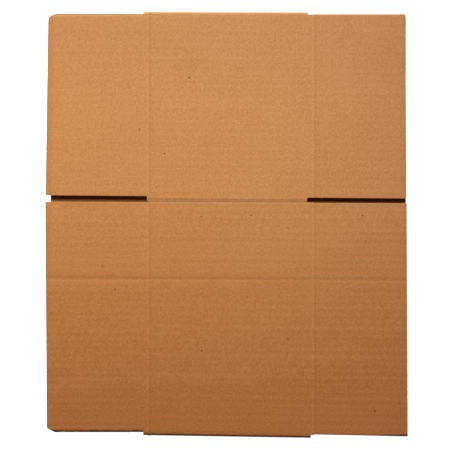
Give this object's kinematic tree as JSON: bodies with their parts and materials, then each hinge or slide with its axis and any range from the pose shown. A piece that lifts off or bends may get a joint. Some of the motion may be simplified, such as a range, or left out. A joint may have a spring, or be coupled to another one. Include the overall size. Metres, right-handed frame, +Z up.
{
  "type": "corrugated box",
  "caption": "Knocked-down slotted corrugated carton lying flat: a glued sleeve of four wall panels in two layers, with hinged closing flaps at both ends.",
  "frame": {"origin": "middle of the underside of the carton as it lies flat", "axes": "+X along the flutes and the box height, towards the right end of the picture; +Y across the wall panels, towards the top of the picture; +Z up"},
  "size_m": [0.3905, 0.4599, 0.0113],
  "materials": {
    "kraft_board": "matt brown kraft liner"
  },
  "bodies": {
    "walls": {"walls": "kraft_board"},
    "short_upper_left": {"flap_short_upper_left": "kraft_board"},
    "long_upper_left": {"flap_long_upper_left": "kraft_board"},
    "short_upper_right": {"flap_short_upper_right": "kraft_board"},
    "long_upper_right": {"flap_long_upper_right": "kraft_board"},
    "long_lower_left": {"flap_long_lower_left": "kraft_board"},
    "short_lower_left": {"flap_short_lower_left": "kraft_board"},
    "long_lower_right": {"flap_long_lower_right": "kraft_board"},
    "short_lower_right": {"flap_short_lower_right": "kraft_board"}
  },
  "joints": [
    {"name": "short_upper_left_score", "type": "hinge", "parent": "walls", "child": "short_upper_left", "pos_m": [-0.0837, 0.13, 0.0086], "axis": [0, 1, 0], "range_deg": [0, 175]},
    {"name": "long_upper_left_score", "type": "hinge", "parent": "walls", "child": "long_upper_left", "pos_m": [-0.0837, 0, 0.0113], "axis": [0, 0.9999, 0.012], "range_deg": [0, 175]},
    {"name": "short_upper_right_score", "type": "hinge", "parent": "walls", "child": "short_upper_right", "pos_m": [0.0941, 0.13, 0.0086], "axis": [0, -1, 0], "range_deg": [0, 179]},
    {"name": "long_upper_right_score", "type": "hinge", "parent": "walls", "child": "long_upper_right", "pos_m": [0.0941, 0, 0.0113], "axis": [0, -0.9999, -0.012], "range_deg": [0, 179]},
    {"name": "long_lower_left_score", "type": "hinge", "parent": "walls", "child": "long_lower_left", "pos_m": [-0.0837, 0.1, -0.0003], "axis": [0, -1, 0], "range_deg": [0, 175]},
    {"name": "short_lower_left_score", "type": "hinge", "parent": "walls", "child": "short_lower_left", "pos_m": [-0.0837, -0.12, -0.0003], "axis": [0, -1, 0], "range_deg": [0, 175]},
    {"name": "long_lower_right_score", "type": "hinge", "parent": "walls", "child": "long_lower_right", "pos_m": [0.0941, 0.1, -0.0003], "axis": [0, 1, 0], "range_deg": [0, 179]},
    {"name": "short_lower_right_score", "type": "hinge", "parent": "walls", "child": "short_lower_right", "pos_m": [0.0941, -0.12, -0.0003], "axis": [0, 1, 0], "range_deg": [0, 179]}
  ]
}
